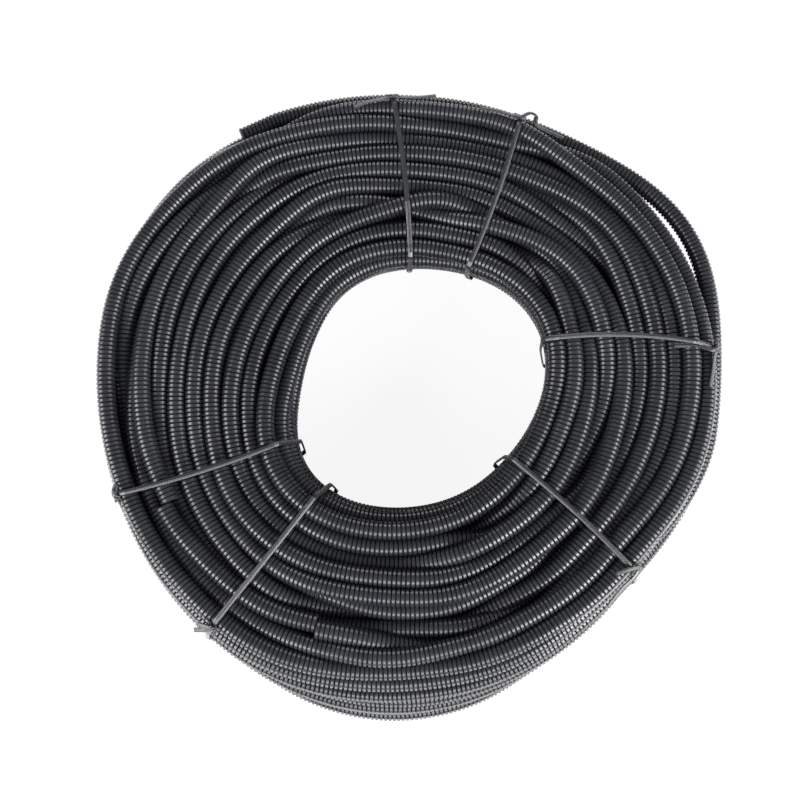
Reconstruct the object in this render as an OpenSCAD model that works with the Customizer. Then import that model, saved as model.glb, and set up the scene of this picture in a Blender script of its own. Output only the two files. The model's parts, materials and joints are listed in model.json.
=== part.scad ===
// Coil of black corrugated plastic conduit, lying flat and held by six flat twist ties.
// Millimetres, +Z up. The origin is on the coil's axis, at the level of the floor.
// The coil is one turned solid: its outer turns show as rounds on the top, the bottom,
// the outside and the inside of the eye. The outermost turn ends in an open cut end.

/* [Conduit] */
// Outside diameter over the ribs
conduit_od = 13; // [10:0.5:20]
// Thickness of the conduit's wall
conduit_wall = 0.45; // [0.3:0.05:0.7]
// Distance from one rib to the next
rib_pitch = 3.15; // [2.4:0.05:4.5]
// Width of a rib's flat crest
rib_crest = 1.75; // [1.2:0.05:1.8]
// Depth of the grooves between the ribs
rib_depth = 1.2; // [0.8:0.1:1.6]

/* [Coil] */
// Outside diameter of the coil over its top layer
coil_od = 456; // [400:2:560]
// Turns side by side in the top layer
turns_across = 10; // [7:1:12]
// Layers of turns, one on another
layers = 10; // [5:1:14]
// How far the ribs of two neighbouring turns nest into each other
nesting = 0.2; // [0.1:0.05:0.4]

/* [Free turn] */
// Angle at which the outermost turn dives in among the others
free_start_angle = 7; // [2:1:9]
// Angle at which the straight cut end of that turn starts
free_end_angle = 117; // [104:1:130]
// Ribs on the straight cut end
end_ribs = 8; // [4:1:12]

/* [Ties] */
// Angle of the first tie, beside the cut end
tie_1_angle = 92; // [86:1:98]
// Angle of the second tie
tie_2_angle = 65; // [58:1:72]
// Angle of the third tie
tie_3_angle = 12; // [11:1:20]
// Angle of the fourth tie
tie_4_angle = -40; // [-50:1:-30]
// Angle of the fifth tie
tie_5_angle = 232; // [224:1:240]
// Angle of the sixth tie
tie_6_angle = 203; // [195:1:210]
// Width of the tie's ribbon
tie_w = 3.6; // [2.5:0.1:5]
// Thickness of the ribbon beside its wire
tie_t = 0.9; // [0.6:0.1:1.4]
// Width of the raised strip over the wire
core_w = 1.3; // [0.8:0.1:1.8]
// How far that strip stands above the ribbon
core_rise = 0.35; // [0.2:0.05:0.6]
// Slack between the ribbon and the turns it holds
tie_slack = 0.2; // [0.1:0.05:0.4]
// Length of the twisted knot
knot_len = 8; // [6:0.5:12]
// Turns of the twist in the knot
knot_turns = 1.5; // [1:0.25:2.5]
// Length of the longer tail
long_tail = 24; // [16:1:32]
// Length of the shorter tail
short_tail = 13; // [8:1:20]
// Radius to which the tails are bent
tail_bend = 55; // [40:1:120]

/* [Hidden] */

conduit_colour = [0.09, 0.09, 0.10];
tie_colour = [0.20, 0.20, 0.21];

// Turns lie hexagonally: each layer is shifted by half a spacing against the one above.
turn_r = conduit_od / 2;
turn_gap = conduit_od - nesting;
layer_rise = turn_gap * sqrt(3) / 2;
outer_turn = coil_od / 2 - turn_r;
inner_turn = outer_turn - (turns_across - 1) * turn_gap;

// The lowest turns lie on the ribbons that pass under the coil.
ribbon_rise = tie_t + core_rise;
base_z = ribbon_rise + tie_slack + turn_r;
top_z = base_z + (layers - 1) * layer_rise;

// Row 0 is the top layer. Every other row is a turn shorter, half a spacing in at both ends.
function row_z(row) = top_z - row * layer_rise;
function row_inset(row) = row % 2 == 1 ? turn_gap / 2 : 0;
function row_end(row, side) = side > 0 ? outer_turn - row_inset(row) : inner_turn + row_inset(row);
last_row = layers - 1;
full_row = last_row - last_row % 2;

// The free turn lies in the groove outside the second layer.
free_turn = [outer_turn + turn_gap / 2, row_z(1)];
// Room beside the cut end, which lies free of its neighbours
end_room = 0.4;
// How far the cut end's root is set into the solid turn
root_depth = 1;

// Section of the coil: the outer turns as rounds, filled between their centres.
module coil_section() {
    for (row = [0, last_row], k = [0 : turns_across - 1 - (row % 2)])
        translate([row_end(row, -1) + k * turn_gap, row_z(row)])
            circle(r = turn_r, $fn = 48);
    for (row = [1 : last_row - 1], side = [-1, 1])
        translate([row_end(row, side), row_z(row)])
            circle(r = turn_r, $fn = 48);
    polygon(concat(
        [for (row = [0 : last_row]) [row_end(row, 1), row_z(row)]],
        [for (row = [last_row : -1 : 0]) [row_end(row, -1), row_z(row)]]));
}

// Points of one side of the corrugated wall, from the root to the cut, at a given inset.
// Under the crest the inner side is narrower than the outer one, so the wall keeps its thickness.
function rib_points(inset) =
    let (flank = (rib_pitch - rib_crest) / 4,
         groove = (rib_pitch - rib_crest) / 2,
         root = turn_r - rib_depth - inset,
         crest = turn_r - inset,
         shift = inset * 0.5)
    concat(
        [[root, -root_depth]],
        [for (k = [0 : end_ribs - 1], step = [0 : 3])
            [step == 0 || step == 3 ? root : crest,
             k * rib_pitch + (step == 0 ? groove + shift
                            : step == 1 ? groove + flank + shift
                            : step == 2 ? groove + flank + rib_crest - shift
                            : groove + 2 * flank + rib_crest - shift)]]);

// Length of the cut end, cut square through the groove after its last rib
end_len = end_ribs * rib_pitch + (rib_pitch - rib_crest) / 4;

// Hollow corrugated end of the conduit, standing on its root and open at the top.
module cut_end() {
    outer = concat(rib_points(0), [[turn_r - rib_depth, end_len]]);
    inner = concat(rib_points(conduit_wall), [[turn_r - rib_depth - conduit_wall, end_len]]);
    rotate_extrude($fn = 64)
        polygon(concat(outer, [for (k = [len(inner) - 1 : -1 : 0]) inner[k]]));
}

// The outermost turn: a solid arc against the coil, and its straight open end.
module outermost_turn() {
    rotate([0, 0, free_start_angle])
        rotate_extrude(angle = free_end_angle - free_start_angle, $fn = 180)
            translate(free_turn)
                circle(r = turn_r, $fn = 48);
    rotate([0, 0, free_end_angle])
        translate([free_turn.x + end_room, 0, free_turn.y])
            rotate([-90, 0, 0])
                cut_end();
}

module conduit_coil() {
    color(conduit_colour)
        union() {
            rotate_extrude($fn = 180) coil_section();
            outermost_turn();
        }
}

// Centres of the turns at the corners of the section, counter-clockwise from the bottom.
// A tie that also holds the free turn has that turn's centre among them.
function corner_turns(holds_free) = concat(
    [for (side = [-1, 1]) [row_end(last_row, side), base_z]],
    full_row == last_row ? [] : [[outer_turn, row_z(full_row)]],
    holds_free ? [free_turn] : [],
    [[outer_turn, top_z], [inner_turn, top_z]],
    full_row == last_row ? [] : [[inner_turn, row_z(full_row)]]);

// Angle of the outward normal of the side from point a to point b.
function normal_angle(a, b) = atan2(b.y - a.y, b.x - a.x) - 90;

// Taut outline round those turns, at a given distance from their centres.
function taut_outline(turns, reach, steps = 8) =
    [for (k = [0 : len(turns) - 1])
        let (before = turns[(k + len(turns) - 1) % len(turns)],
             here = turns[k],
             after = turns[(k + 1) % len(turns)],
             start = normal_angle(before, here),
             stop = normal_angle(here, after),
             sweep = stop < start ? stop - start + 360 : stop - start)
        for (s = [0 : steps])
            let (a = start + sweep * s / steps)
            here + reach * [cos(a), sin(a)]];

// Closed band of a given width between two distances from the turns' centres.
module band(turns, from, to, width) {
    rotate([90, 0, 0])
        linear_extrude(height = width, center = true)
            difference() {
                polygon(taut_outline(turns, to));
                polygon(taut_outline(turns, from));
            }
}

// Flat section of the ribbon with its raised strip, thickness along X.
module ribbon_section() {
    square([tie_t, tie_w], center = true);
    square([tie_t + 2 * core_rise, core_w], center = true);
}

// A tail of ribbon that starts at the origin, runs along +Y and bends upwards.
module tail(length) {
    translate([0, 0, tail_bend])
        rotate([0, 90, 0])
            rotate_extrude(angle = length / tail_bend * 180 / PI, $fn = 180)
                translate([tail_bend, 0])
                    ribbon_section();
}

// The two ends of the ribbon twisted round each other along +Y.
module knot() {
    strand = tie_w / 2;
    rotate([-90, 0, 0])
        translate([0, 0, -strand])
            linear_extrude(height = knot_len + strand, twist = 360 * knot_turns, slices = 20)
                for (side = [-1, 1])
                    translate([side * strand * 0.45, 0])
                        square([strand, tie_t * 1.4], center = true);
}

// One twist tie: a taut band round the section, its knot on the outer rim and two tails.
// hand is 1 where the knot points anticlockwise along the rim, and -1 where it points back.
module tie(angle, hand) {
    turns = corner_turns(angle > free_start_angle && angle < free_end_angle);
    near = turn_r + tie_slack;
    rim = near + tie_t + tie_w * 0.3;
    color(tie_colour)
        rotate([0, 0, angle])
            union() {
                band(turns, near, near + tie_t, tie_w);
                band(turns, near + tie_t / 2, near + ribbon_rise, core_w);
                translate([outer_turn + rim * cos(45), 0, top_z + rim * sin(45)])
                    mirror([0, hand < 0 ? 1 : 0, 0])
                        union() {
                            knot();
                            translate([0, knot_len - tie_t, 0])
                                tail(long_tail);
                            translate([0, knot_len - tie_t, 0])
                                rotate([20, 0, 35])
                                    tail(short_tail);
                        }
            }
}

module tie_1() tie(tie_1_angle, -1);
module tie_2() tie(tie_2_angle, 1);
module tie_3() tie(tie_3_angle, -1);
module tie_4() tie(tie_4_angle, -1);
module tie_5() tie(tie_5_angle, -1);
module tie_6() tie(tie_6_angle, 1);

conduit_coil();
tie_1();
tie_2();
tie_3();
tie_4();
tie_5();
tie_6();
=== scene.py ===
"""A coil of black corrugated plastic conduit, lying flat and held by six flat twist ties.

Metres, +Z up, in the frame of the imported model: the origin is on the coil's axis, at the floor.
"""

import json
import math

import bpy
import numpy as np
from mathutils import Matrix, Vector


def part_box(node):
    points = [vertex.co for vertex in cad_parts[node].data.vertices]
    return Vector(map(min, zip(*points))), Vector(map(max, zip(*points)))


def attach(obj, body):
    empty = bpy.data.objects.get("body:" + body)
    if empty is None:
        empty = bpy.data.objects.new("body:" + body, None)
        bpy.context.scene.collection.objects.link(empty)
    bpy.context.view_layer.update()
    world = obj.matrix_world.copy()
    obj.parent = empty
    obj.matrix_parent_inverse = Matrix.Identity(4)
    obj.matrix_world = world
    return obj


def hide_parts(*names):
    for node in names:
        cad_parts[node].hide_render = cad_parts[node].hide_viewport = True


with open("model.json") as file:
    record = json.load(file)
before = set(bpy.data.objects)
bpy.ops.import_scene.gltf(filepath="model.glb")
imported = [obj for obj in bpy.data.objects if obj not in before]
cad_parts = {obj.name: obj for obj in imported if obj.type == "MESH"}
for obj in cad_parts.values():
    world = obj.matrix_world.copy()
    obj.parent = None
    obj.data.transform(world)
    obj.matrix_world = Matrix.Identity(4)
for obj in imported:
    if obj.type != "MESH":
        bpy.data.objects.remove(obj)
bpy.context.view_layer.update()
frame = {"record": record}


# ---------------------------------------------------------------------------------------------
# The turns. One length of corrugated polyethylene conduit is wound by machine into a loose ring,
# layer on layer. It is springy, so the turns wander, ride up on each other and leave gaps.
# ---------------------------------------------------------------------------------------------

CONDUIT_OD = 0.013
RIB_PITCH = 0.00315
RIB_CREST = 0.00175
RIB_DEPTH = 0.0012
CONDUIT_WALL = 0.00045
PINCH = 0.0002             # radius of the flat cap that closes a tube
TURN_GAP = 0.0128          # between neighbouring turns, whose ribs nest a little
LAYERS = 10
TURNS_ACROSS = 10          # in the top layer, and one fewer in every other layer
SLICES = 72                # half-planes round the axis in which the turns are laid
TOP_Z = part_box("conduit_coil")[1][2] - CONDUIT_OD / 2
BOTTOM_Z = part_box("conduit_coil")[0][2] + CONDUIT_OD / 2
FREE_Z = TOP_Z - TURN_GAP * math.sqrt(3) / 2


def eye_side(phi, z):
    """Radius of the innermost turns at azimuth phi and height z: a ring that widens downwards,
    whose centre leans to the right and, lower down, away from the front, with a second, third and
    fourth wave round it. Its upper edge is rounded."""
    low = (TOP_Z - z) / (TOP_Z - BOTTOM_Z)
    lean = 0.0088 * np.cos(phi) + (0.0165 * low - 0.0024) * np.sin(phi)
    oval = (0.0062 + 0.0025 * low) * np.sin(2 * phi) + 0.0024 * np.cos(3 * phi)
    edge = (0.0090 - 0.0065 * np.cos(phi)) * np.clip((z - 0.075) / 0.032, 0, 1) ** 1.6
    return 0.094 + 0.014 * low + lean + oval + 0.0025 * np.cos(4 * phi - math.radians(122)) + edge


def rim_side(phi, z):
    """Radius of the outermost turns: a ring with a third and a fifth wave, which give it three
    blunt corners, and two narrow swellings on the right. Its front bulges outwards below the top
    layers, and its upper edge is rounded, most of all at the right of the front."""
    corner = 0.0072 * np.cos(3 * phi - math.radians(59)) + 0.0014 * np.cos(5 * phi + math.radians(85))
    lean = 0.0037 * np.cos(phi) - 0.0011 * np.sin(phi)
    round_front = (np.cos(phi - math.radians(267)) - 1) / math.radians(23) ** 2
    front = 2.0 * np.exp(2 * round_front)
    bulge = np.where(z > 0.045, 0.36 * (0.075 - z), 0.0108 - 0.20 * (0.045 - z))
    right_front = np.exp((np.cos(phi - math.radians(318)) - 1) / math.radians(30) ** 2)
    shoulder = (0.007 + 0.007 * right_front) * np.clip((z - 0.076) / 0.032, 0, 1) ** 1.7
    side = 0.004 * np.exp(2 * (np.cos(phi - math.radians(346)) - 1) / math.radians(16) ** 2)
    side += 0.005 * np.exp(2 * (np.cos(phi - math.radians(24)) - 1) / math.radians(18) ** 2)
    return 0.2212 - lean + corner + side + front * np.maximum(bulge, -0.012) - shoulder


FREE_START = math.radians(-46)      # where the outermost turn comes up from among the others
FREE_BEND = math.radians(116)       # where its straight cut end starts
FREE_END = math.radians(124)        # where the other turns have the room to themselves again


def free_turn(phi):
    """Radius and height of the outermost turn at azimuth phi: a circle that swings out round
    29 degrees, moves outwards from 85 degrees on, and dives inwards below -10 degrees."""
    swing = 0.0200 * np.exp(-((phi - math.radians(29)) / math.radians(21)) ** 2)
    dive = np.clip((math.radians(-10) - phi) / math.radians(36), 0, 1)
    leave = np.clip((phi - math.radians(85)) / math.radians(32), 0, 1)
    r = 0.2190 + swing + 0.0093 * leave ** 1.6 - 0.028 * dive ** 1.5
    return r, FREE_Z - 0.016 * dive ** 1.5


def slow_drift(draw, phi, count):
    """A smooth random wave round the coil for each of count turns: a sum of the first five
    harmonics, whose strength falls with the square root of their order, scaled to about 1."""
    wave = np.zeros((len(phi), count))
    orders = range(1, 6)
    for order in orders:
        a, b = draw.normal(0, 1 / math.sqrt(order), (2, count))
        wave += a * np.cos(order * phi) + b * np.sin(order * phi)
    return wave / math.sqrt(sum(1 / order for order in orders))


# Pairs of turns of the top two layers that change places between two azimuths, in degrees
CROSSINGS = [
    (5, 15, 22, 48), (5, 15, 226, 252),
    (3, 13, 92, 118), (3, 13, 322, 350),
    (6, 16, 108, 134), (6, 16, 270, 296),
    (8, 17, 132, 152), (8, 17, 176, 200),
    (1, 11, 8, 46), (1, 11, 296, 320),
]

# Turns of the top layer that are cut: the turn, the cut's azimuth in degrees, and how far the end
# before it and the end after it are off their course, in millimetres outwards and upwards
JOINTS = [
    (7, 207.5, (-2.6, -0.5), (2.6, 0.4)),
    (7, 250.0, (-1.4, -0.6), (2.0, 0.5)),
    (5, 319.5, (-3.5, -6.0), (1.2, 0.8)),
]


def swap_places(r, z, phi, first, second, start, stop):
    """Let two turns change places from an azimuth on: between start and stop, in degrees, each
    moves on half an ellipse to where the other was, so that they pass round each other."""
    w = np.clip((np.degrees(phi) - start) / (stop - start), 0, 1)
    w = w * w * (3 - 2 * w)
    dr, dz = r[:, second] - r[:, first], z[:, second] - z[:, first]
    bow = 0.55 * np.sin(math.pi * w)
    r[:, first], r[:, second] = (r[:, first] + dr * w - dz * bow, r[:, second] - dr * w + dz * bow)
    z[:, first], z[:, second] = (z[:, first] + dz * w + dr * bow, z[:, second] - dz * w - dr * bow)


def lay_turns(seed, rounds):
    """Radius and height of every turn in every slice, as two arrays (slice, turn).

    The turns start as hexagonal layers that fill the room between the eye and the rim. They are
    moved by slow random waves, and pairs of them change places at the crossings. Then each round
    pulls them towards that start, lets the top two layers and the bottom one sink, pushes
    overlapping neighbours apart and out of the free turn's way, and evens every turn along its
    length.
    """
    pull_rounds = rounds - 25
    even_rounds = rounds - 20
    draw = np.random.default_rng(seed)
    phi = (np.arange(SLICES) * 2 * math.pi / SLICES)[:, None]
    share, layer = [], []
    for k in range(LAYERS):
        for i in range(TURNS_ACROSS - k % 2):
            share.append((i + 0.5 * (k % 2)) / (TURNS_ACROSS - 1))
            layer.append(k)
    share, layer = np.array(share), np.array(layer)
    count = len(share)
    high, low = layer <= 1, layer == LAYERS - 1
    inner = (share < 0.06) & ~high
    outer = (share > 0.94) & (layer >= 1)
    skin = high | low | inner | outer

    level = TOP_Z - layer * (TOP_Z - BOTTOM_Z) / (LAYERS - 1)
    level = np.broadcast_to(level, (SLICES, count))
    near, far = eye_side(phi, level), rim_side(phi, level)
    # The slow waves carry a turn some millimetres off, farther in the loose upper layers.
    stray = np.where(layer <= 2, 0.0040, 0.0028)
    aim_r = near + (far - near) * share + stray * slow_drift(draw, phi, count)
    aim_z = level + 0.0030 * slow_drift(draw, phi, count)
    for first, second, start, stop in CROSSINGS:
        swap_places(aim_r, aim_z, phi[:, 0], first, second, start, stop)
    # Hidden turns fill what room the skin leaves them, and differ, which keeps the packing loose.
    # A turn of the skin takes up a cell of 0.955 of its square.
    cell = TURN_GAP ** 2 * 0.955
    room = ((far - near).mean(1) + TURN_GAP) * (TOP_Z - BOTTOM_Z + TURN_GAP)
    swell = 0.97 * np.sqrt((room - skin.sum() * cell) / ((~skin).sum() * cell))[:, None]
    unlike = 1 + 0.1 * np.clip(slow_drift(draw, phi, count), -1.6, 1.6)
    half = np.where(skin, TURN_GAP / 2, TURN_GAP / 2 * swell * unlike)
    # A cut turn gets an eighth more room at its cut, where its two ends are off their course.
    for turn, azimuth, *_ in JOINTS:
        near_joint = np.exp(-((phi[:, 0] - math.radians(azimuth)) / math.radians(15)) ** 2)
        half[:, turn] *= 1 + 0.12 * near_joint

    # The free turn is laid as given, and the others make room for it.
    signed = (phi + math.pi) % (2 * math.pi) - math.pi
    free_r, free_z = free_turn(signed)
    free_here = (signed > FREE_START) & (signed < FREE_END)

    r, z = aim_r.copy(), aim_z.copy()
    own = np.arange(count)
    for step in range(rounds):
        pull = 1 - (step + 1) / rounds
        if step < pull_rounds:
            # Each pull is a share of the way, and fades over the rounds. The top two layers and
            # the bottom one sink by up to 0.2 mm a round.
            r += (aim_r - r) * 0.03 * pull
            z += np.where(high | low, -0.0002 * pull, (aim_z - z) * 0.02 * pull)
            z += np.where(layer <= 1, (aim_z - z) * 0.012 * pull, 0)
            r += np.where(inner, (eye_side(phi, z) - r) * 0.08 * pull, 0)
            r += np.where(outer, (rim_side(phi, z) - r) * 0.08 * pull, 0)
        dr = r[:, :, None] - r[:, None, :]
        dz = z[:, :, None] - z[:, None, :]
        apart = np.sqrt(dr ** 2 + dz ** 2)
        apart[:, own, own] = 1
        over = np.clip(half[:, :, None] + half[:, None, :] - apart, 0, None)
        shove = 0.3 * over / np.maximum(apart, 1e-6)
        away_r, away_z = r - free_r, z - free_z
        away = np.maximum(np.sqrt(away_r ** 2 + away_z ** 2), 1e-6)
        free_shove = 0.5 * free_here * np.clip(TURN_GAP / 2 + half - away, 0, None) / away
        r = r + (dr * shove).sum(2) + away_r * free_shove
        r = np.clip(r, eye_side(phi, z), rim_side(phi, z))
        z = z + (dz * shove).sum(2) + away_z * free_shove
        z = np.maximum(z - 0.2 * np.clip(z - TOP_Z - 0.004, 0, None), BOTTOM_Z)
        if step < even_rounds:
            r = 0.6 * r + 0.2 * (np.roll(r, 1, 0) + np.roll(r, -1, 0))
            z = 0.6 * z + 0.2 * (np.roll(z, 1, 0) + np.roll(z, -1, 0))
    return r, z


def seen_from_outside(r, z):
    """For every slice and turn, whether it shows from above or the side, and whether from below:
    of 30 straight lines out of its middle, one at least passes no other turn."""
    count = r.shape[1]
    own = np.arange(count)
    dr = r[:, None, :] - r[:, :, None]
    dz = z[:, None, :] - z[:, :, None]
    shows = np.zeros(r.shape, bool)
    shows_below = np.zeros(r.shape, bool)
    for angle in np.radians(np.arange(0, 360, 12)):
        along = dr * math.cos(angle) + dz * math.sin(angle)
        aside = np.abs(dr * math.sin(angle) - dz * math.cos(angle))
        blocked = (along > 0) & (aside < CONDUIT_OD * 0.42)
        blocked[:, own, own] = False
        clear = ~blocked.any(2)
        if math.sin(angle) < -0.3:
            shows_below |= clear
        else:
            shows |= clear
    return shows, shows_below


turn_r, turn_z = lay_turns(seed=7, rounds=220)
shows, shows_below = seen_from_outside(turn_r, turn_z)


def round_wave(samples, phi, cut=20):
    """A smooth closed curve near evenly spaced samples, at the azimuths phi: the sum of the
    samples' first harmonics, of which the last ones fade out."""
    spectrum = np.fft.rfft(samples) / len(samples)
    order = np.arange(cut)
    weight = np.where(order == 0, 1, 2) * np.exp(-(order / (0.75 * cut)) ** 4)
    angles = np.outer(phi, order)
    even = np.cos(angles) @ (spectrum.real[:cut] * weight)
    odd = np.sin(angles) @ (spectrum.imag[:cut] * weight)
    return even - odd


def tube_rings(path, forward, radius, around):
    """Rings of a tube, as an array (ring, point, 3): at each point of the path a circle of the
    given radius, upright to the way forward there. radius holds one value a ring."""
    forward = forward / np.linalg.norm(forward, axis=1)[:, None]
    out = path * [1, 1, 0]
    out -= forward * (out * forward).sum(1)[:, None]
    out /= np.linalg.norm(out, axis=1)[:, None]
    up = np.cross(out, forward)
    turn = ((np.arange(around) + 0.5) * 2 * math.pi / around)[None, :, None]
    ring = np.cos(turn) * out[:, None, :] + np.sin(turn) * up[:, None, :]
    return path[:, None, :] + radius[:, None, None] * ring


def grid_faces(rings, around, closed=True):
    """Quads between neighbouring rings, wound so that a tube's faces point outwards. A tube that
    isn't closed on itself gets a cap of quads at each end."""
    last = rings if closed else rings - 1
    i = np.arange(last)[:, None]
    j = np.arange(around)[None, :]
    after, beside = (i + 1) % rings, (j + 1) % around
    quads = np.stack([i * around + j, after * around + j,
                      after * around + beside, i * around + beside], -1).reshape(-1, 4)
    if closed:
        return quads
    k = np.arange(around // 2 - 1)
    cap = np.stack([k, k + 1, around - 2 - k, around - 1 - k], -1)
    return np.concatenate([quads, cap, cap[:, ::-1] + last * around])


FINE = 4096                # steps in which the length of a turn is measured
PLAIN_STEP = 8             # ribs from ring to ring where a turn is hidden and left plain


def closed_turn(samples_r, samples_z, ribbed, around):
    """Rings of one closed turn. In the slices that are ribbed, each rib gives three rings: two at
    the edges of its flat crest and one at the bottom of the groove. Elsewhere the turn is plain."""
    fine = np.arange(FINE) * 2 * math.pi / FINE
    rr, zz = round_wave(samples_r, fine), round_wave(samples_z, fine)
    step = np.sqrt(rr ** 2 + np.gradient(rr, fine) ** 2 + np.gradient(zz, fine) ** 2) * fine[1]
    length = step.sum()
    ribs = round(length / RIB_PITCH)
    pitch = length / ribs
    start = np.arange(ribs) * pitch
    along = np.concatenate([[0], np.cumsum(step)])
    phi_all = np.concatenate([fine, [2 * math.pi]])
    keep = ribbed[(np.interp(start, along, phi_all) / (2 * math.pi) * SLICES).astype(int) % SLICES]
    sparse = ~keep & (np.arange(ribs) % PLAIN_STEP == 0)
    marks = np.concatenate([start[keep], start[keep] + RIB_CREST,
                            start[keep] + (RIB_CREST + pitch) / 2, start[sparse]])
    radius = np.concatenate([np.full(keep.sum() * 2, CONDUIT_OD / 2),
                             np.full(keep.sum(), CONDUIT_OD / 2 - RIB_DEPTH),
                             np.full(sparse.sum(), CONDUIT_OD / 2 - RIB_DEPTH / 2)])
    order = np.argsort(marks)
    marks, radius = marks[order], radius[order]
    phi = np.interp(marks, along, phi_all)
    rho, height = round_wave(samples_r, phi), round_wave(samples_z, phi)
    path = np.stack([rho * np.cos(phi), rho * np.sin(phi), height], 1)
    forward = np.roll(path, -1, 0) - np.roll(path, 1, 0)
    return tube_rings(path, forward, radius, around)


LOOK_AHEAD = 0.001         # how far on either side a cut turn's direction is taken


def cut_turn(line, around, cup, start_open=True):
    """Rings of a stretch of conduit along a dense line of points, cut square through a groove at
    both ends. At an open end the wall turns inwards at the cut and goes back inside as a ribbed
    bore, cup ribs deep. An end that isn't open lies hidden and is closed flat."""
    step = np.linalg.norm(np.diff(line, axis=0), axis=1)
    along = np.concatenate([[0], np.cumsum(step)])
    ribs = round(along[-1] / RIB_PITCH)
    pitch = along[-1] / ribs
    middle = (np.arange(ribs) + 0.5) * pitch
    marks = np.stack([middle - RIB_CREST / 2, middle + RIB_CREST / 2, middle + pitch / 2], 1).ravel()
    radius = np.tile([CONDUIT_OD / 2, CONDUIT_OD / 2, CONDUIT_OD / 2 - RIB_DEPTH], ribs)
    marks = np.concatenate([[0], marks])
    radius = np.concatenate([[CONDUIT_OD / 2 - RIB_DEPTH], radius])
    bore = radius - CONDUIT_WALL
    deep = 3 * cup + 1
    if start_open:
        first_marks, first_radius = marks[:deep][::-1], bore[:deep][::-1]
    else:
        first_marks, first_radius = marks[:0], bore[:0]
    last_marks, last_radius = marks[-deep:][::-1], bore[-deep:][::-1]
    marks = np.concatenate([first_marks, marks, last_marks])
    radius = np.concatenate([first_radius, radius, last_radius])
    marks = np.concatenate([marks[:1], marks, marks[-1:]])
    radius = np.concatenate([[PINCH], radius, [PINCH]])
    points = np.stack([np.interp(marks, along, line[:, k]) for k in range(3)], 1)
    ahead = np.stack([np.interp(marks + LOOK_AHEAD, along, line[:, k]) for k in range(3)], 1)
    behind = np.stack([np.interp(marks - LOOK_AHEAD, along, line[:, k]) for k in range(3)], 1)
    return tube_rings(points, ahead - behind, radius, around)


def turn_line(t, start, stop, first_shift, last_shift):
    """The course of turn t between two azimuths in degrees, as points an eighth of a degree apart.
    At each end it is off its course by a shift in millimetres, outwards and upwards, which fades
    within some ten degrees."""
    degrees = np.linspace(start, stop, int((stop - start) * 8) + 2)
    phi = np.radians(degrees)
    w_first = np.exp(-((degrees - start) / 11) ** 2)
    w_last = np.exp(-((degrees - stop) / 11) ** 2)
    r = round_wave(turn_r[:, t], phi) + (w_first * first_shift[0] + w_last * last_shift[0]) / 1000
    z = round_wave(turn_z[:, t], phi) + (w_first * first_shift[1] + w_last * last_shift[1]) / 1000
    return np.stack([r * np.cos(phi), r * np.sin(phi), z], 1)


def tube_part(rings, closed=True):
    """A tube for new_piece, from its rings: their points, its faces and the points in a ring."""
    count, around = rings.shape[:2]
    return rings.reshape(-1, 3), grid_faces(count, around, closed), around


def new_piece(name, parts, material, node):
    """One object from several tubes, whose ring edges are sharp. Each tube gets a tone between 0
    and 1, its number times 0.618 without the whole part, which spreads the tones evenly."""
    points, faces, rings, tones = [], [], [], []
    first_point, first_ring = 0, 0
    for number, (tube, quads, around) in enumerate(parts):
        points.append(tube)
        faces.append(quads + first_point)
        rings.append(np.arange(len(tube)) // around + first_ring)
        tones.append(np.full(len(tube), (number * 0.618) % 1))
        first_point += len(tube)
        first_ring += len(tube) // around + 1
    points, faces, rings = np.concatenate(points), np.concatenate(faces), np.concatenate(rings)
    mesh = bpy.data.meshes.new(name)
    mesh.vertices.add(len(points))
    mesh.vertices.foreach_set("co", points.astype(np.float32).ravel())
    mesh.loops.add(faces.size)
    mesh.loops.foreach_set("vertex_index", faces.astype(np.int32).ravel())
    mesh.polygons.add(len(faces))
    mesh.polygons.foreach_set("loop_start", (np.arange(len(faces)) * 4).astype(np.int32))
    mesh.update(calc_edges=True)
    mesh.shade_smooth()
    ends = np.empty(len(mesh.edges) * 2, np.int32)
    mesh.edges.foreach_get("vertices", ends)
    ends = ends.reshape(-1, 2)
    sharp = mesh.attributes.new("sharp_edge", "BOOLEAN", "EDGE")
    sharp.data.foreach_set("value", rings[ends[:, 0]] == rings[ends[:, 1]])
    tone = mesh.attributes.new("tone", "FLOAT", "POINT")
    tone.data.foreach_set("value", np.concatenate(tones).astype(np.float32))
    mesh.materials.append(material)
    piece = bpy.data.objects.new(name, mesh)
    bpy.context.scene.collection.objects.link(piece)
    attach(piece, "root")
    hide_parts(node)


def linear(hex_colour):
    """A linear RGBA colour from an sRGB hex string, by the sRGB curve."""
    parts = [int(hex_colour[i:i + 2], 16) / 255 for i in (1, 3, 5)]
    return tuple(c / 12.92 if c <= 0.04045 else ((c + 0.055) / 1.055) ** 2.4 for c in parts) + (1,)


def add(tree, kind, settings=None, **links):
    """A node of a kind, with its settings, its unlinked values and its links from other sockets."""
    node = tree.nodes.new(kind)
    for name, value in (settings or {}).items():
        setattr(node, name, value)
    for name, value in links.items():
        key = int(name[1:]) if name[0] == "i" and name[1:].isdigit() else name.replace("_", " ")
        socket = node.inputs[key]
        if isinstance(value, bpy.types.NodeSocket):
            tree.links.new(value, socket)
        else:
            socket.default_value = value
    return node


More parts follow.
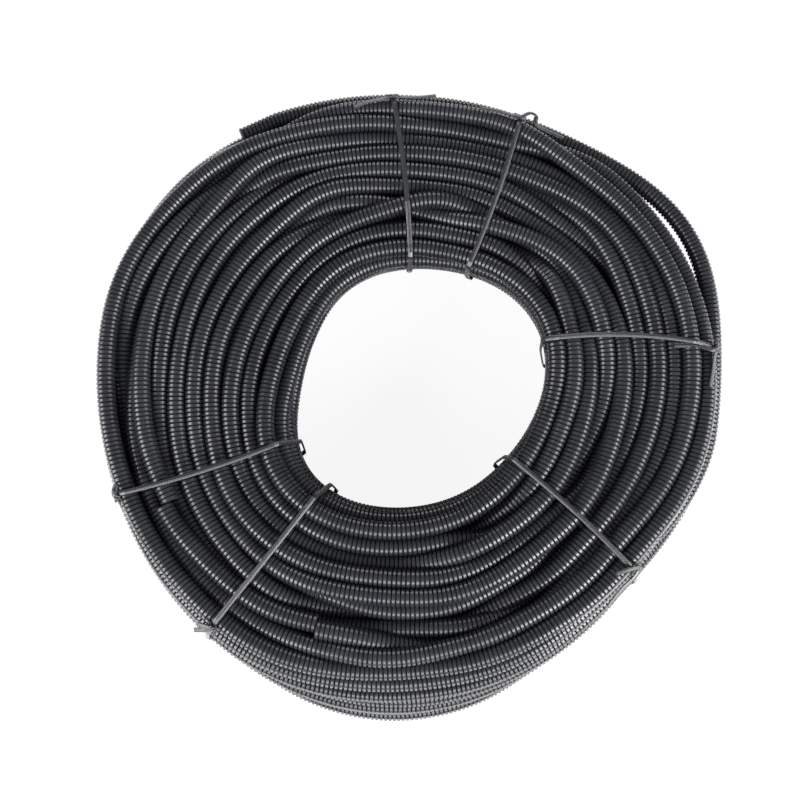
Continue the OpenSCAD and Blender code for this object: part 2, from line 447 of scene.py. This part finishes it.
def black_polyethylene():
    """Black polyethylene, coloured with carbon black, extruded and blown into corrugating moulds.
    The moulds leave it satin, so every crest carries a soft streak of light on a cool black. The
    sheen varies in clouds of 1/60 m, about 17 mm, where the wall cooled unevenly, and the black
    varies with them and from turn to turn."""
    material = bpy.data.materials.new("black_polyethylene")
    material.use_nodes = True
    tree = material.node_tree
    shader = tree.nodes["Principled BSDF"]
    place = add(tree, "ShaderNodeTexCoord").outputs["Object"]
    cloud = add(tree, "ShaderNodeTexNoise", Vector=place, Scale=60.0, Detail=4.0)
    tone = add(tree, "ShaderNodeAttribute", {"attribute_name": "tone"})
    both = add(tree, "ShaderNodeMath", {"operation": "MULTIPLY_ADD"},
               i0=tone.outputs["Fac"], i1=0.5, i2=cloud.outputs["Fac"])
    colour = add(tree, "ShaderNodeValToRGB", Fac=both.outputs[0])
    colour.color_ramp.elements[0].color = linear("#121317")
    colour.color_ramp.elements[0].position = 0.3
    colour.color_ramp.elements[1].color = linear("#1e1f23")
    colour.color_ramp.elements[1].position = 1.0
    tree.links.new(colour.outputs[0], shader.inputs["Base Color"])
    rough = add(tree, "ShaderNodeMapRange", Value=cloud.outputs["Fac"])
    rough.inputs["To Min"].default_value = 0.27
    rough.inputs["To Max"].default_value = 0.38
    tree.links.new(rough.outputs[0], shader.inputs["Roughness"])
    shader.inputs["IOR"].default_value = 1.5
    return material


def and_neighbours(slices):
    """A mask of slices, widened by one slice on each side."""
    return slices | np.roll(slices, 1) | np.roll(slices, -1)


def free_line(mouth):
    """The course of the free turn, as points: round the ring, then straight on to its mouth."""
    phi = np.linspace(FREE_START, FREE_BEND, 900)
    r, z = free_turn(phi)
    curve = np.stack([r * np.cos(phi), r * np.sin(phi), z], 1)
    return np.concatenate([curve, mouth[None]])


AROUND = [12, 9, 8, 8, 8, 8, 8, 8, 6, 6]        # sides of a turn, by layer, fewer where little shows
CUT_AROUND = 12            # sides of a cut turn
END_AROUND = 20            # sides of the free turn
CUT_CUP = 7                # ribs of bore behind a cut
END_CUP = 9
CUT_GAP = 0.12             # degrees from a cut's middle to each of its ends
PIECE_TRIANGLES = 190000   # at most, in one piece

polyethylene = black_polyethylene()
layer_of = np.repeat(np.arange(LAYERS), [TURNS_ACROSS - k % 2 for k in range(LAYERS)])
cut_turns = sorted({joint[0] for joint in JOINTS})
turns = []
for t in range(turn_r.shape[1]):
    ribbed = and_neighbours(shows[:, t]) | and_neighbours(shows_below[:, t])
    if t in cut_turns or not ribbed.any():
        continue
    turns.append(tube_part(closed_turn(turn_r[:, t], turn_z[:, t], ribbed, AROUND[layer_of[t]])))

for t in cut_turns:
    cuts = [joint for joint in JOINTS if joint[0] == t]
    for k, (_, azimuth, _, first_shift) in enumerate(cuts):
        _, next_azimuth, last_shift, _ = cuts[(k + 1) % len(cuts)]
        next_azimuth += 360 * (k + 1 == len(cuts))
        line = turn_line(t, azimuth + CUT_GAP, next_azimuth - CUT_GAP, first_shift, last_shift)
        turns.append(tube_part(cut_turn(line, CUT_AROUND, CUT_CUP), closed=False))

# The free turn's mouth is where the model has it.
mounts = {mount["name"]: mount for mount in frame["record"]["mounts"]}
end_line = free_line(np.array(mounts["conduit_mouth"]["pos_m"]))
turns.append(tube_part(cut_turn(end_line, END_AROUND, END_CUP, start_open=False), closed=False))

group, total, number = [], 0, 1
for part in turns:
    triangles = 2 * len(part[0])
    if total + triangles > PIECE_TRIANGLES:
        new_piece(f"conduit_turns_{number}", group, polyethylene, "conduit_coil")
        group, total, number = [], 0, number + 1
    group.append(part)
    total += triangles
new_piece(f"conduit_turns_{number}", group, polyethylene, "conduit_coil")


# ---------------------------------------------------------------------------------------------
# The turns within. What lies deeper than the second layer shows only as black between the
# turns in front, so it is one closed core of the same polyethylene.
# ---------------------------------------------------------------------------------------------

CORE_DEPTH = 0.014         # of the core below the bundle's skin
CORE_RINGS = 144           # round the eye
CORE_SIDES = 32            # round its section


def core_rings():
    """Rings round the eye of a rounded box, CORE_DEPTH inside the bundle's skin on every side: the
    square roots of a circle's sine and cosine give its section."""
    phi = np.arange(CORE_RINGS) * 2 * math.pi / CORE_RINGS
    corner = np.arange(CORE_SIDES) * 2 * math.pi / CORE_SIDES
    u = np.sign(np.cos(corner)) * np.abs(np.cos(corner)) ** 0.5
    v = np.sign(np.sin(corner)) * np.abs(np.sin(corner)) ** 0.5
    z = (TOP_Z + BOTTOM_Z) / 2 + v * ((TOP_Z - BOTTOM_Z) / 2 - CORE_DEPTH)
    z = np.broadcast_to(z, (CORE_RINGS, CORE_SIDES))
    lo, hi = eye_side(phi[:, None], z), rim_side(phi[:, None], z)
    r = (lo + hi) / 2 + u * ((hi - lo) / 2 - CORE_DEPTH)
    return np.stack([r * np.cos(phi)[:, None], r * np.sin(phi)[:, None], z], -1)


new_piece("turns_within", [tube_part(core_rings())], polyethylene, "conduit_coil")


# ---------------------------------------------------------------------------------------------
# The ties. Six twist ties of soft PVC ribbon over a steel wire hold the bundle. Each is wrapped
# round it, pulled tight and twisted once or twice on the rim, where its two ends stand off.
# ---------------------------------------------------------------------------------------------

TIE_WIDTH = 0.0036
TIE_EDGE = 0.0004          # half the thickness of the ribbon beside its wire
TIE_WIRE = 0.00075         # half the thickness over the wire
TIE_REACH = CONDUIT_OD / 2 + 0.0010         # from a turn's middle to the ribbon's
EYE_END = 0.095            # radius at which a tie reaches its azimuth in the eye
RIM_END = 0.225            # radius at which it reaches its azimuth on the rim
LOOP_POINTS = 150
KNOT_ANGLE = math.radians(50)               # of the knot on the bundle's upper edge, above level
KNOT_LENGTH = 0.008
STRAND_WIDTH = 0.0022      # of a ribbon that is rolled up in the knot
TWISTS = 1.5
TAIL_POINTS = 32


def turns_at(azimuth):
    """Radius and height of every turn, each at its own one of the given azimuths."""
    every = range(turn_r.shape[1])
    r = np.array([round_wave(turn_r[:, t], azimuth[t:t + 1])[0] for t in every])
    z = np.array([round_wave(turn_z[:, t], azimuth[t:t + 1])[0] for t in every])
    return r, z


def slant(r, eye_azimuth, rim_azimuth):
    """Azimuth of a tie at radius r: it changes evenly from the eye's end to the rim's, and at most
    a tenth of that beyond them."""
    way = np.clip((r - EYE_END) / (RIM_END - EYE_END), -0.1, 1.1)
    return eye_azimuth + (rim_azimuth - eye_azimuth) * way


def taut_loop(eye_azimuth, rim_azimuth, steps=180):
    """The taut way round the bundle, as points and their outward directions, from the knot on
    the rim over the top to the eye, down, and back under the turns. In each direction it touches
    the turn that lies farthest out that way, but it stands off a little round the eye's edge."""
    azimuth = np.full(turn_r.shape[1], (eye_azimuth + rim_azimuth) / 2)
    for _ in range(2):
        r, z = turns_at(azimuth)
        azimuth = slant(r, eye_azimuth, rim_azimuth)
    angle = KNOT_ANGLE + np.linspace(0, 2 * math.pi, steps)
    way = np.stack([np.cos(angle), np.sin(angle)], 1)
    farthest = (way @ np.stack([r, z])).argmax(1)
    eye_edge = np.cos(angle - math.radians(150)) - 1
    slack = 0.0032 * np.exp(eye_edge / math.radians(28) ** 2)
    section = np.stack([r, z], 1)[farthest] + (TIE_REACH + slack)[:, None] * way
    # Under the turns the ribbon lies on the floor.
    section[:, 1] = np.maximum(section[:, 1], 0.0008)
    # Even spacing along the way gives straight stretches points too.
    run = np.concatenate([[0], np.cumsum(np.linalg.norm(np.diff(section, axis=0), axis=1))])
    even = np.linspace(0, run[-1], LOOP_POINTS)
    section = np.stack([np.interp(even, run, section[:, 0]), np.interp(even, run, section[:, 1])], 1)
    way = np.stack([np.interp(even, run, way[:, 0]), np.interp(even, run, way[:, 1])], 1)
    phi = slant(section[:, 0], eye_azimuth, rim_azimuth)
    radial = np.stack([np.cos(phi), np.sin(phi), np.zeros(len(phi))], 1)
    points = section[:, :1] * radial
    points[:, 2] = section[:, 1]
    facing = way[:, :1] * radial
    facing[:, 2] = way[:, 1]
    return points, facing


def smooth_way(marks, count):
    """A smooth open curve through a few marks, as count points: between two marks it is the cubic
    whose slope at each mark is half the step from the mark before to the mark after."""
    marks = np.array(marks, float)
    padded = np.concatenate([[2 * marks[0] - marks[1]], marks, [2 * marks[-1] - marks[-2]]])
    s = np.linspace(0, len(marks) - 1 - 1e-9, count)
    k = s.astype(int)
    t = (s - k)[:, None]
    a, b, c, d = (padded[k + i] for i in range(4))
    square = (2 * a - 5 * b + 4 * c - d) * t ** 2
    cube = (3 * b - a - 3 * c + d) * t ** 3
    return 0.5 * (2 * b + (c - a) * t + square + cube)


# The upper side of the ribbon's section, from edge to edge: each point's distance from the middle
# as a share of half the width, and its height
RIBBON_ACROSS = [-1, -0.86, -0.42, -0.24, 0, 0.24, 0.42, 0.86]
RIBBON_THICK = [0, TIE_EDGE, TIE_EDGE, TIE_WIRE * 0.85, TIE_WIRE, TIE_WIRE * 0.85, TIE_EDGE, TIE_EDGE]
END_SHARE = 0.02           # to which a ribbon's section shrinks at its closed ends


def ribbon(points, facing, width=TIE_WIDTH):
    """A flat ribbon with a round wire in its middle, as a tube part: its section is carried along
    points, with its flat side towards facing. Both ends are drawn in to close them."""
    forward = np.gradient(points, axis=0)
    forward /= np.linalg.norm(forward, axis=1)[:, None]
    side = np.cross(facing, forward)
    side /= np.linalg.norm(side, axis=1)[:, None]
    face = np.cross(forward, side)
    across = np.array(RIBBON_ACROSS + [-x for x in RIBBON_ACROSS]) * width / 2
    thick = np.array(RIBBON_THICK + [-x for x in RIBBON_THICK])
    rings = points[:, None] + across[None, :, None] * side[:, None]
    rings = rings + thick[None, :, None] * face[:, None]
    ends = points[[0, -1], None] + (rings[[0, -1]] - points[[0, -1], None]) * END_SHARE
    return tube_part(np.concatenate([ends[:1], rings, ends[1:]]), closed=False)


def twist_tie(name, eye_azimuth, rim_azimuth, tails, node):
    """One tie: the loop, a knot of the two ends twisted round each other along the rim, and the
    tails, each a smooth way through marks beside the knot. A mark is in millimetres, as
    anticlockwise along the rim, outwards and up. Azimuths are in degrees."""
    eye_azimuth, rim_azimuth = math.radians(eye_azimuth), math.radians(rim_azimuth)
    points, facing = taut_loop(eye_azimuth, rim_azimuth)
    parts = [ribbon(points, facing)]
    knot = points[0]
    out = np.array([math.cos(rim_azimuth), math.sin(rim_azimuth), 0])
    along = np.array([-out[1], out[0], 0])
    up = np.array([0, 0, 1.0])
    s = np.linspace(0, 1, 26)[:, None]
    for strand in (0, math.pi):
        wind = strand + s * TWISTS * 2 * math.pi
        spoke = np.cos(wind) * (out + up) / math.sqrt(2) + np.sin(wind) * (up - out) / math.sqrt(2)
        middle = knot + (s - 0.4) * KNOT_LENGTH * along + 0.0012 * (out + up)
        parts.append(ribbon(middle + 0.0010 * spoke, spoke, width=STRAND_WIDTH))
    for marks in tails:
        way = smooth_way(marks, TAIL_POINTS) / 1000
        tail = knot + way[:, :1] * along + way[:, 1:2] * out + way[:, 2:] * up
        swing = np.linspace(0, 1, TAIL_POINTS)[:, None]
        look = (1 - swing) * (out + up) + swing * (up + 0.6 * out)
        parts.append(ribbon(tail, look))
    new_piece(name, parts, tie_vinyl, node)


def grey_vinyl():
    """Dark grey soft PVC, extruded over its steel wire. It is semi-matte, with a dull sheen along
    the raised wire, and its grey varies in clouds of 1/180 m, about 5.5 mm, where fingers have
    bent and pulled it."""
    material = bpy.data.materials.new("grey_vinyl")
    material.use_nodes = True
    tree = material.node_tree
    shader = tree.nodes["Principled BSDF"]
    place = add(tree, "ShaderNodeTexCoord").outputs["Object"]
    cloud = add(tree, "ShaderNodeTexNoise", Vector=place, Scale=180.0, Detail=3.0)
    colour = add(tree, "ShaderNodeValToRGB", Fac=cloud.outputs["Fac"])
    colour.color_ramp.elements[0].color = linear("#151618")
    colour.color_ramp.elements[1].color = linear("#1e1f21")
    tree.links.new(colour.outputs[0], shader.inputs["Base Color"])
    shader.inputs["Roughness"].default_value = 0.36
    shader.inputs["IOR"].default_value = 1.53
    return material


tie_vinyl = grey_vinyl()

twist_tie("twist_tie_1", 88.6, 93.2, [
    [(4, 0, 0), (0, 1, 3), (-6, 0.5, 1), (-18, 0, 0), (-32, 0, 1)],
    [(-4, 0, 0), (0, 1, 2), (6, 0, 1), (18, -3, 3), (29, -8, 5)]], node="tie_1")
twist_tie("twist_tie_2", 62, 67.3, [
    [(-4, 0, 0), (0, 1, 3), (8, 0, 2), (18, -1, 2), (29, -5, 4)],
    [(4, 0, 0), (0, 1, 2), (-5, 7, 1), (-10, 7, 0), (-12, 1, 0), (-20, -1, 1), (-35, -2, 1)]], node="tie_2")
twist_tie("twist_tie_3", 17.0, 5.9, [
    [(3, 0, 0), (0, 1, 3), (-2, -4, 5), (2, -14, 5), (4, -30, 4)],
    [(-3, 0, 0), (0, 1, 2), (-6, -2, 3), (-16, -5, 3), (-28, -9, 3)]], node="tie_3")
twist_tie("twist_tie_4", -37, -41.3, [
    [(4, 0, 0), (2, 3, 2), (-4, 4, 1), (-14, 3, 0), (-28, 3, -1)],
    [(-4, 0, 0), (1, 3, 1), (3, 2, 3), (-3, -3, 5), (-10, -7, 4)]], node="tie_4")
twist_tie("twist_tie_5", 232.3, 232, [
    [(3, 0, 0), (1, 2, 2), (-2, 5, 0), (-8, 10, -2)],
    [(-3, 0, 0), (0, 1, 3), (-4, 3, 3), (-8, 5, 2)]], node="tie_5")
twist_tie("twist_tie_6", 207, 201.4, [
    [(-3, 0, 0), (0, 2, 1), (4, 2, -4), (14, 1, -10), (29, -3, -14)],
    [(3, 0, 0), (0, 2, 2), (-4, 1, 1), (-6, -2, 1)]], node="tie_6")


# ---------------------------------------------------------------------------------------------
# Floor, light and camera. The coil lies on a sweep of matt white paper, so wide that its edge is
# far off, with six softboxes round it and a camera above it, a little to the front.
# ---------------------------------------------------------------------------------------------

FLOOR_HALF = 60
FLOOR_Z = -0.0005
PAPER_GLOW = 0.9           # share of the paper's look that is plain white to the camera
PICTURE_WIDTH = 4 / 7      # metres across the picture at the level of the top layer
SENSOR_WIDTH = 36          # millimetres

floor_corners = [(x * FLOOR_HALF, y * FLOOR_HALF, FLOOR_Z) for x, y in ((-1, -1), (1, -1), (1, 1), (-1, 1))]
floor_mesh = bpy.data.meshes.new("floor")
floor_mesh.from_pydata(floor_corners, [], [(0, 1, 2, 3)])
# White paper, matt and a little grey in the shade. Overlit paper comes out plain white, which the
# glow gives it where the camera looks.
floor_material = bpy.data.materials.new("white_paper_sweep")
floor_material.use_nodes = True
floor_tree = floor_material.node_tree
paper = floor_tree.nodes["Principled BSDF"]
paper.inputs["Base Color"].default_value = linear("#f4f4f4")
paper.inputs["Roughness"].default_value = 0.9
paper.inputs["Specular IOR Level"].default_value = 0.1
bright = add(floor_tree, "ShaderNodeEmission", Color=(1, 1, 1, 1), Strength=1.0)
floor_seen = add(floor_tree, "ShaderNodeLightPath").outputs["Is Camera Ray"]
glow = add(floor_tree, "ShaderNodeMath", {"operation": "MULTIPLY"}, i0=floor_seen, i1=PAPER_GLOW)
mixed = add(floor_tree, "ShaderNodeMixShader",
            i0=glow.outputs[0], i1=paper.outputs[0], i2=bright.outputs[0])
floor_tree.links.new(mixed.outputs[0], floor_tree.nodes["Material Output"].inputs["Surface"])
floor_mesh.materials.append(floor_material)
floor = bpy.data.objects.new("floor", floor_mesh)
bpy.context.scene.collection.objects.link(floor)

# The studio round it is white to the camera, but gives the coil only a dim light.
world = bpy.data.worlds.new("studio")
bpy.context.scene.world = world
world.use_nodes = True
world_tree = world.node_tree
world_seen = add(world_tree, "ShaderNodeLightPath").outputs["Is Camera Ray"]
world_light = add(world_tree, "ShaderNodeMapRange", Value=world_seen)
world_light.inputs["To Min"].default_value = 0.24
world_light.inputs["To Max"].default_value = 1.0
world_tree.nodes["Background"].inputs["Color"].default_value = (1, 1, 1, 1)
world_tree.links.new(world_light.outputs[0], world_tree.nodes["Background"].inputs["Strength"])


def softbox(name, place, size, power):
    """A rectangular soft lamp that faces the origin, with its size in metres and power in watts."""
    data = bpy.data.lights.new(name, "AREA")
    data.shape = "RECTANGLE"
    data.size, data.size_y = size
    data.energy = power
    lamp = bpy.data.objects.new(name, data)
    lamp.location = place
    lamp.rotation_euler = (-Vector(place)).to_track_quat("-Z", "Y").to_euler()
    bpy.context.scene.collection.objects.link(lamp)


softbox("left_softbox", (-1.5, -0.1, 1.0), (0.9, 0.9), 30)
softbox("right_softbox", (1.5, 0.0, 0.9), (0.9, 0.9), 26)
softbox("front_softbox", (0.0, -1.5, 1.2), (1.0, 0.7), 26)
softbox("front_right_softbox", (1.1, -1.1, 1.1), (0.9, 0.8), 62)
softbox("front_left_softbox", (-1.1, -1.1, 1.1), (0.8, 0.8), 38)
softbox("back_softbox", (0.0, 1.6, 0.8), (1.2, 0.5), 14)

camera_tilt = math.radians(9.5)
camera_distance = 0.590
to_camera = Vector((0, -math.sin(camera_tilt), math.cos(camera_tilt)))
camera_data = bpy.data.cameras.new("camera")
camera = bpy.data.objects.new("camera", camera_data)
camera.location = Vector((0, 0, TOP_Z)) + to_camera * camera_distance
camera.rotation_mode = "QUATERNION"
camera.rotation_quaternion = (-to_camera).to_track_quat("-Z", "Y")
camera_data.sensor_width = SENSOR_WIDTH
camera_data.lens = SENSOR_WIDTH * camera_distance / PICTURE_WIDTH
# Shares of the picture's width by which it is shifted
camera_data.shift_x = -0.00875
camera_data.shift_y = -0.022625
camera_data.clip_start = 0.01
bpy.context.scene.collection.objects.link(camera)
bpy.context.scene.camera = camera
bpy.context.scene.view_settings.view_transform = "Standard"
